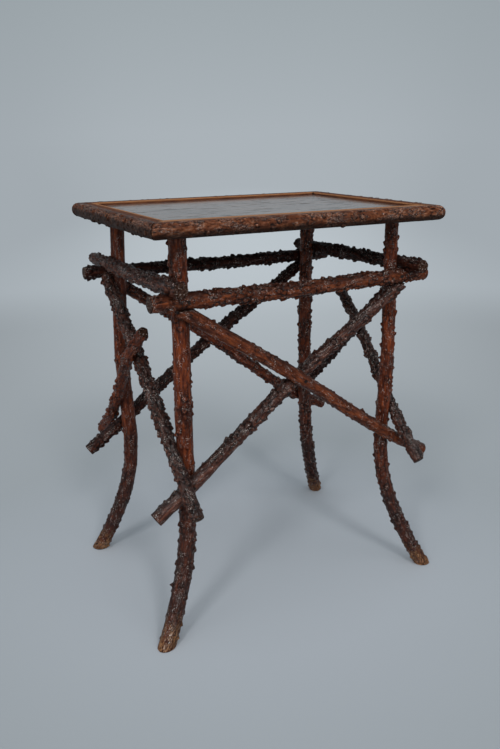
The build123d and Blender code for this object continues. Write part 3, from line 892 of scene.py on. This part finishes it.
# %% Four tones of bark
BARK_TONES = {
    "red": dict(film=0.5, hollow="#140704", dark="#250f08", middle="#502110", light="#803c1a"),
    "amber": dict(film=0.46, hollow="#160906", dark="#2b130c", middle="#552713", light="#834322"),
    "dark": dict(film=0.2, hollow="#0a0504", dark="#190b08", middle="#30150d", light="#4c2518"),
    "plum": dict(film=0.65, hollow="#0d0706", dark="#1e0f0c", middle="#3f2017", light="#6d4130"),
}
BARKS = {tone: varnished_bark("varnished_bark_" + tone, **looks) for tone, looks in BARK_TONES.items()}
print("bark materials:", [material.name for material in BARKS.values()])

# %% [markdown]
# ## Sawn ends
#
# Each branch was cut to length with a saw and the cut was varnished too. End grain drinks
# varnish, so it goes darker and duller than the bark, with growth rings a millimetre or so
# apart and dark drips. Pale spots are painted on it as glints. The rings are drawn from
# the distance to the heart of the branch, in the same straightened place as the streaks of
# the bark.

# %% Sawn end grain
RING_WIDTH = 1.4 * MM
WOBBLE_SIZE = 100 / 9 * MM  # about 11 mm, over which a growth ring wanders


def sawn_end_grain():
    """Dull, dark end wood with growth rings, drips of varnish and pale spots painted in as glints."""
    material, tree = new_material("sawn_end_grain")
    straight = add_node(tree, "ShaderNodeAttribute", {}, attribute_name="straight").outputs["Vector"]
    flat = add_node(tree, "ShaderNodeVectorMath", {
        0: straight, 1: (0.0, 1.0, 1.0),
    }, operation="MULTIPLY").outputs["Vector"]
    wobble = add_node(tree, "ShaderNodeTexNoise", {
        "Vector": flat, "Scale": 1 / WOBBLE_SIZE, "Detail": 2.0,
    })
    radius = add_node(tree, "ShaderNodeVectorMath", {0: flat}, operation="LENGTH")
    pushed = add_node(tree, "ShaderNodeMath", {
        0: wobble.outputs["Fac"], 1: 2 * RING_WIDTH, 2: radius.outputs["Value"],
    }, operation="MULTIPLY_ADD")
    turned = add_node(tree, "ShaderNodeMath", {
        0: pushed.outputs["Value"], 1: 2 * math.pi / RING_WIDTH,
    }, operation="MULTIPLY")
    rings = add_node(tree, "ShaderNodeMath", {
        0: turned.outputs["Value"],
    }, operation="SINE").outputs["Value"]
    ring_share = add_node(tree, "ShaderNodeMapRange", {"Value": rings, "From Min": -1.0, "From Max": 1.0})
    ramp = add_node(tree, "ShaderNodeValToRGB", {"Fac": ring_share.outputs["Result"]}, stops=(
        (0.1, "#190d08"), (0.6, "#351d12"), (0.95, "#553523"),
    ))
    drips = grain_noise(tree, straight, 4, 4, 3, 4.4)
    painted_end_glints = grain_noise(tree, straight, 3, 3, 2, 8.1)
    colour = painted(tree, ramp.outputs["Color"], (
        (drips, (0.54, 0.44), 0.75, "#140a08"),
        # pale spots painted in as glints
        (painted_end_glints, (0.6, 0.66), 0.6, "#b0a098"),
    ))
    grooves = add_node(tree, "ShaderNodeBump", {"Height": rings, "Strength": 0.4, "Distance": 0.0003})
    beads = add_node(tree, "ShaderNodeBump", {"Height": drips, "Strength": 1.0, "Distance": 0.003})
    wet = add_node(tree, "ShaderNodeMapRange", {
        "Value": drips, "From Min": 0.5, "From Max": 0.6, "To Min": 0.0, "To Max": 0.6,
    })
    shader = add_node(tree, "ShaderNodeBsdfPrincipled", {
        "Base Color": colour, "Roughness": 0.6, "IOR": VARNISH_IOR, "Specular IOR Level": 0.05,
        "Normal": grooves.outputs["Normal"], "Coat Weight": wet.outputs["Result"],
        "Coat Roughness": 0.12, "Coat Normal": beads.outputs["Normal"],
    })
    add_node(tree, "ShaderNodeOutputMaterial", {"Surface": shader.outputs["BSDF"]})
    return material


END_GRAIN = sawn_end_grain()
print(END_GRAIN.name, "with rings", RING_WIDTH * 1000, "mm apart")

# %% [markdown]
# ## Dressing the branches
#
# No two branches are alike, so a list says what each is like: the tone of its bark, how close
# together its stubs stand and how tall they are, both in millimetres, and how knobbly it is,
# from 0 to 1. Some are barer in their lower or their upper part, so they have two more
# numbers, one for each: the higher the number, the fewer the stubs. Then each packed rod gets
# its skin: steadied, carved, studded and built.

# %% What each branch is like
BRANCHES = {
    "leg_front_left": dict(tone="red", pitch=16, height=2.8, knobbly=0.1, bare=(-0.6, 0.8)),
    "leg_front_right": dict(tone="red", pitch=15, height=2.8, knobbly=0.1, bare=(-0.6, 0.3)),
    "leg_back_left": dict(tone="red", pitch=17, height=2.5, knobbly=0.1, bare=(-0.2, 0.8)),
    "leg_back_right": dict(tone="red", pitch=13, height=3.3, knobbly=0.3, bare=(-0.6, -0.2)),
    "rail_front": dict(tone="amber", pitch=12, height=3.4, knobbly=0.6),
    "rail_back": dict(tone="dark", pitch=12, height=3.4, knobbly=0.5),
    "rail_left": dict(tone="plum", pitch=11, height=3.8, knobbly=0.9),
    "rail_right": dict(tone="dark", pitch=11, height=3.8, knobbly=0.7),
    "brace_front_inner": dict(tone="plum", pitch=13, height=3.4, knobbly=0.5, bare=(1.2, 0.0)),
    "brace_front_outer": dict(tone="amber", pitch=17, height=2.4, knobbly=0.15),
    "brace_back_inner": dict(tone="red", pitch=13, height=3.2, knobbly=0.5),
    "brace_back_outer": dict(tone="dark", pitch=11, height=3.4, knobbly=0.7),
    "brace_left_inner": dict(tone="plum", pitch=10, height=3.8, knobbly=1.0),
    "brace_left_outer": dict(tone="red", pitch=12, height=3.2, knobbly=0.6),
    "brace_right_inner": dict(tone="dark", pitch=11, height=3.6, knobbly=0.7),
    "brace_right_outer": dict(tone="plum", pitch=10, height=3.9, knobbly=1.0),
}
print("branches to dress:", len(BRANCHES))

# %% Painted shade, dirt and wear
# Painted shade and dirt darken the joints, painted shade darkens the upper side of what lies
# level, and the legs grow darker towards the feet, where the soles are rubbed back to bare
# wood. Distances are in metres.
JOINT_SHADE_AND_DIRT = 0.8
JOINT_SHADE_FROM = 0.002
UPPER_SIDE_SHADE = 0.75
UPPER_SIDE = (0.15, 0.75)  # how far a surface looks up
LOW_DARKENING = (0.12, 0.34)  # the height over which it thins out
FOOT_WEAR = 0.06


def shade_dirt_and_wear(node, skin, gaps, heights, patchy):
    """How much painted shade and dirt, and how much wear each point has, from 0 to 1."""
    # painted shade and dirt where a neighbour lies close
    joint = JOINT_SHADE_AND_DIRT * (1 - eased(gaps, JOINT_SHADE_FROM, JOINT_CLEAR)) * (0.5 + 0.5 * patchy)
    # painted shade on the side that looks up
    upper = UPPER_SIDE_SHADE * eased(skin.spokes[:, :, 2], *UPPER_SIDE) * (0.6 + 0.4 * patchy)
    shade_and_dirt = np.maximum(joint, upper)
    if not node.startswith("leg"):
        return shade_and_dirt, np.zeros_like(shade_and_dirt)
    # darker towards the feet
    low = (1 - eased(heights, *LOW_DARKENING)) * (0.6 + 0.4 * patchy)
    worn = (1 - eased(heights, 0, FOOT_WEAR * (0.4 + patchy))) * (0.4 + 0.6 * patchy)
    return np.maximum(shade_and_dirt, low), worn


# %% Dress every branch
BRANCH_COLUMNS = 64
FILL_REACH = 3
RIM_CLEAR = 0.006  # no stubs this close to a sawn end
BARK_FROM, BARK_FULL = 0.001, 0.006  # the bark rises over these distances from a joint
LOWER_TO_UPPER = (0.3, 0.38)  # the height over which the lower part turns into the upper
HOLLOW_DEPTH = 0.9 * MM
BRANCH_SEED, SEED_STEP = 7, 100


def dress_branch(node, seed, tone, pitch, height, knobbly, bare=(0.0, 0.0)):
    """Replace a packed rod by a branch with its bark on."""
    skin = Skin(node, BRANCH_COLUMNS)
    skin.radii = softened(filled(skin.radii, FILL_REACH), 1)
    heights = skin.points()[:, :, 2]
    gaps = clearance(node, skin.points())
    from_end = np.minimum(skin.arcs, skin.arcs[-1] - skin.arcs)[:, None]
    clear = eased(gaps, BARK_FROM, BARK_FULL)
    is_clear = (gaps >= BARK_FULL) & (from_end > RIM_CLEAR)
    bareness = bare[0] + (bare[1] - bare[0]) * eased(heights, *LOWER_TO_UPPER)
    raised, stub, count = thorn_stubs(seed, skin, pitch * MM, height * MM, is_clear, bareness)
    skin.radii = skin.radii + clear * (bark_relief(seed, skin, knobbly) + raised)
    hollow = np.clip((softened(skin.radii, 3) - skin.radii) / HOLLOW_DEPTH, 0, 1)
    patchy = 0.5 + 0.5 * swells(seed + 9, skin, 9 * MM, 5 * MM)
    shade_and_dirt, worn = shade_dirt_and_wear(node, skin, gaps, heights, patchy)
    numbers = {"stub": stub * clear, "hollow": hollow, "worn": worn, "shade_and_dirt": shade_and_dirt}
    piece = build_piece("bark_" + node, skin, numbers, [BARKS[tone], END_GRAIN])
    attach(piece, "root")
    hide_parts(node)
    print(f"{node}: {skin.arcs[-1] * 1000:.0f} mm long, {count} stubs, {len(piece.data.polygons)} faces")


for number, (node, looks) in enumerate(BRANCHES.items()):
    dress_branch(node, SEED_STEP * number + BRANCH_SEED, **looks)

# %% [markdown]
# ## The edging
#
# The edging is a thicker branch, split down its middle and planed on three faces, so that the
# bark shows only on its round outer face. Planed wood gives the eye a dull, even brown with
# long grain, and a clean amber strip where hands have kept it rubbed. It could be a plain
# profile swept round the board, but then it would have no bark. So it is wrapped in the same
# kind of net. The bark is carved only where the surface lies further out than the planed
# strip, and the line between the two wanders, because a branch is never quite straight.

# %% Edging material
# Width and length in millimetres, detail and seed of each pattern. The pores of planed wood
# and the specks on its bark are drawn coarser than they are, to show.
EDGING_PATTERNS = {
    "blotches": (14, 45, 2, 8.4),
    "grain": (3, 40, 4, 0.9),
    "pores": (0.8, 8, 2, 5.3),
    "mottle": (3.4, 6.5, 4, 3.1),
    "specks": (1.3, 1.8, 2, 7.7),
    "patches": (16, 30, 2, 2.2),
}


def edging_wood(name, film, roughness):
    """Planed brown wood that turns to mottled bark where the number 'bark' says so."""
    material, tree = new_material(name)
    straight = add_node(tree, "ShaderNodeAttribute", {}, attribute_name="straight").outputs["Vector"]
    bark, depth, under, lip = (
        add_node(tree, "ShaderNodeAttribute", {}, attribute_name=number).outputs["Fac"]
        for number in ("bark", "hollow", "under", "lip")
    )
    blotches, grain, pores, mottle, specks, patches = (
        grain_noise(tree, straight, *sizes) for sizes in EDGING_PATTERNS.values()
    )
    wood_ramp = add_node(tree, "ShaderNodeValToRGB", {"Fac": grain}, stops=(
        (0.35, "#3a2018"), (0.52, "#5a3423"), (0.68, "#744628"),
    ))
    planed = painted(tree, wood_ramp.outputs["Color"], (
        (lip, ALL, 1.0, "#9b6b48"),  # the rubbed strip
        (pores, (0.6, 0.7), 0.7, "#321a10"),
    ))
    bark_ramp = add_node(tree, "ShaderNodeValToRGB", {"Fac": mottle}, stops=(
        (0.34, "#20110b"), (0.46, "#4a2718"), (0.58, "#734328"), (0.7, "#9b6e54"),
    ))
    dusty = overlap(tree, (specks, (0.53, 0.62), KEPT), (patches, (0.56, 0.44), KEPT))
    barked = painted(tree, bark_ramp.outputs["Color"], (
        (blotches, (0.5, 0.6), 0.65, "#2b1916"),
        (patches, (0.5, 0.6), 0.5, "#66361e"),
        (dusty, ALL, 0.5, "#a3958d"),
        (depth, (0.05, 0.7), 0.9, "#120907"),
    ))
    either = add_node(tree, "ShaderNodeMix", {
        SHARE: bark, FIRST: planed, SECOND: barked,
    }, data_type="RGBA")
    # painted shade under the edging and on the bark of its sides
    colour = painted(tree, either.outputs[MIXED], ((under, ALL, 0.8, "#1c100b"),))
    relief = add_node(tree, "ShaderNodeBump", {"Height": mottle, "Strength": 0.4, "Distance": 0.0008})
    wet = 0.0
    if film:
        wet = overlap(tree, (mottle, (0.5, 0.62), (0.2 * film, 1.8 * film)), (under, ALL, (1.0, 0.2)))
    shader = add_node(tree, "ShaderNodeBsdfPrincipled", {
        "Base Color": colour, "Roughness": roughness, "IOR": VARNISH_IOR, "Specular IOR Level": 0.08,
        "Normal": relief.outputs["Normal"], "Coat Weight": wet, "Coat Roughness": 0.12,
    })
    add_node(tree, "ShaderNodeOutputMaterial", {"Surface": shader.outputs["BSDF"]})
    return material


EDGING_BARK = edging_wood("varnished_edging_bark", film=0.24, roughness=0.6)
EDGING_PLANED = edging_wood("planed_edging_wood", film=0.0, roughness=0.75)
print("edging materials:", EDGING_BARK.name, EDGING_PLANED.name)

# %% What each edging piece is like
# From the board outwards, in millimetres: how wide the rubbed strip is, and where the planed
# wood ends. How far below the top the painted shade of the underside begins. How much
# painted shade lies on the bark all over.
EDGINGS = {
    "edging_front": dict(outwards=(0, -1, 0), strip=19, planed=22, shade_from=13, shade=0.0),
    "edging_back": dict(outwards=(0, 1, 0), strip=5, planed=20, shade_from=10, shade=0.2),
    "edging_left": dict(outwards=(-1, 0, 0), strip=5, planed=19, shade_from=4, shade=0.3),
    "edging_right": dict(outwards=(1, 0, 0), strip=1, planed=18, shade_from=10, shade=0.2),
}
DARKENS_OVER = 8
STRIP_FADE = 3
STRIP_FALL = 0.3  # the strip follows the round of the branch down by this much for each step out
STRIP_DROP = (1, 3)  # on the face towards the board it fades out this far below the top
print("edging pieces to dress:", len(EDGINGS))


def edging_numbers(bark, depths, drop, strip, shade_from, shade):
    """How much painted shade each point has, from below and on the bark, and how much of the rubbed strip
    it is.
    """
    darkness = eased(drop, shade_from * MM, (shade_from + DARKENS_OVER) * MM)
    under = np.maximum(darkness, shade * bark)
    lip = eased(-depths, -(strip + STRIP_FADE) * MM, -strip * MM)
    lip = lip * eased(STRIP_FALL * depths - drop, -STRIP_DROP[1] * MM, -STRIP_DROP[0] * MM)
    return under, lip


# %% Dress the edging
EDGING_COLUMNS = 96
CARVED_FROM, CARVED_FULL = 25 * MM, 28 * MM  # the bark is carved from this far out
BARK_LINE = 0.8 * MM  # half the width of the line between bark and planed wood
EDGING_HOLLOW_DEPTH = 0.7 * MM
EDGING_SEED = 5000


def dress_edging(node, seed, outwards, strip, planed, shade_from, shade):
    """Replace a packed edging piece by a split branch, with bark on its outer face."""
    skin = Skin(node, EDGING_COLUMNS)
    skin.radii = filled(skin.radii, FILL_REACH)
    depths = skin.points() @ np.array(outwards, float)
    depths = depths - depths.min()
    heights = skin.points()[:, :, 2]
    edge = planed * MM + 2 * MM * swells(seed + 6, skin, 30 * MM, 60 * MM)
    bark = eased(depths, edge - BARK_LINE, edge + BARK_LINE)
    from_end = np.minimum(skin.arcs, skin.arcs[-1] - skin.arcs)[:, None]
    outer = eased(depths, CARVED_FROM, CARVED_FULL) * eased(from_end, BARK_FROM, BARK_FULL)
    raised = thorn_stubs(seed + 8, skin, 17 * MM, 2.6 * MM, outer > 0.99)[0]
    chips = MM * 0.9 * np.clip(swells(seed + 7, skin, 5 * MM, 3 * MM) - 0.1, 0, 1)
    skin.radii = skin.radii + outer * (bark_relief(seed, skin, 0.6) - chips + raised)
    hollow = bark * np.clip((softened(skin.radii, 2) - skin.radii) / EDGING_HOLLOW_DEPTH, 0, 1)
    under, lip = edging_numbers(bark, depths, heights.max() - heights, strip, shade_from, shade)
    numbers = {"bark": bark, "hollow": hollow, "under": under, "lip": lip}
    piece = build_piece("split_" + node, skin, numbers, [EDGING_BARK, END_GRAIN, EDGING_PLANED])
    is_planed = bark[:-1].ravel() < 0.5
    chosen = np.zeros(len(piece.data.polygons), np.int32)
    piece.data.polygons.foreach_get("material_index", chosen)
    chosen[:is_planed.size] = np.where(is_planed, 2, 0)
    piece.data.polygons.foreach_set("material_index", chosen)
    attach(piece, "root")
    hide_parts(node)
    print(f"{node}: {len(piece.data.polygons)} faces, {is_planed.sum()} of them planed")


for number, (node, looks) in enumerate(EDGINGS.items()):
    dress_edging(node, EDGING_SEED + SEED_STEP * number, **looks)

# %% [markdown]
# ## The board
#
# The board of the top is a plain flat panel, planed, stained almost black-brown and then
# varnished on its upper side. The stain gives the eye long grain with short dark pores,
# and the varnish mirrors the room at a low angle, except where it has scratched and worn off.
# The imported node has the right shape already, so it keeps it and only gets a finish.

# %% Stained and varnished board
def stained_board():
    """Dark stained boards with long grain, under a film on the upper side that is worn in places."""
    material, tree = new_material("stained_varnished_board")
    place = add_node(tree, "ShaderNodeTexCoord", {}).outputs["Object"]
    grain = grain_noise(tree, place, 7, 160, 5, 0.2)
    pores = grain_noise(tree, place, 1.3, 14, 2, 3.4)
    scars = grain_noise(tree, place, 10, 36, 4, 6.6)
    ramp = add_node(tree, "ShaderNodeValToRGB", {"Fac": grain}, stops=(
        (0.36, "#3a2a24"), (0.5, "#5f483e"), (0.64, "#846b5e"),
    ))
    colour = painted(tree, ramp.outputs["Color"], (
        (pores, (0.6, 0.68), 0.85, "#170d0a"),
        (scars, (0.57, 0.63), 0.8, "#1c1311"),
    ))
    relief = add_node(tree, "ShaderNodeBump", {"Height": pores, "Strength": 0.2, "Distance": 0.0004})
    facing = add_node(tree, "ShaderNodeNewGeometry", {}).outputs["Normal"]
    upwards = add_node(tree, "ShaderNodeSeparateXYZ", {0: facing}).outputs["Z"]
    film = overlap(tree, (scars, (0.57, 0.63), (1.0, 0.45)), (upwards, (0.2, 0.6), KEPT))
    shader = add_node(tree, "ShaderNodeBsdfPrincipled", {
        "Base Color": colour, "Roughness": 0.6, "IOR": VARNISH_IOR, "Specular IOR Level": 0.1,
        "Normal": relief.outputs["Normal"], "Coat Weight": film, "Coat Roughness": 0.16,
    })
    add_node(tree, "ShaderNodeOutputMaterial", {"Surface": shader.outputs["BSDF"]})
    return material


def give_material(node, material):
    """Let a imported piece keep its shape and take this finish."""
    mesh = nodes[node].data
    mesh.materials.clear()
    mesh.materials.append(material)
    print(node, "in", material.name)


give_material("board", stained_board())

# %% [markdown]
# ## The nails
#
# The nails are square iron, forged and then blackened in hot oil. That gives the eye a dull,
# nearly black metal with browner patches of scale and a slight oily shine. They keep their
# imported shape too.

# %% Blackened iron
SCALE_PATCH = 10 / 9 * MM  # about 1.1 mm


def blackened_iron():
    """Dull black iron with patches of brown scale."""
    material, tree = new_material("blackened_iron")
    place = add_node(tree, "ShaderNodeTexCoord", {}).outputs["Object"]
    patches = add_node(tree, "ShaderNodeTexNoise", {
        "Vector": place, "Scale": 1 / SCALE_PATCH, "Detail": 3.0,
    })
    ramp = add_node(tree, "ShaderNodeValToRGB", {"Fac": patches.outputs["Fac"]}, stops=(
        (0.4, "#17120f"), (0.6, "#3a2a22"),
    ))
    shader = add_node(tree, "ShaderNodeBsdfPrincipled", {
        "Base Color": ramp.outputs["Color"], "Metallic": 1.0, "Roughness": 0.55,
        "Coat Weight": 0.5, "Coat Roughness": 0.2,
    })
    add_node(tree, "ShaderNodeOutputMaterial", {"Surface": shader.outputs["BSDF"]})
    return material


IRON = blackened_iron()
for node in nodes:
    if "nails" in node:
        give_material(node, IRON)
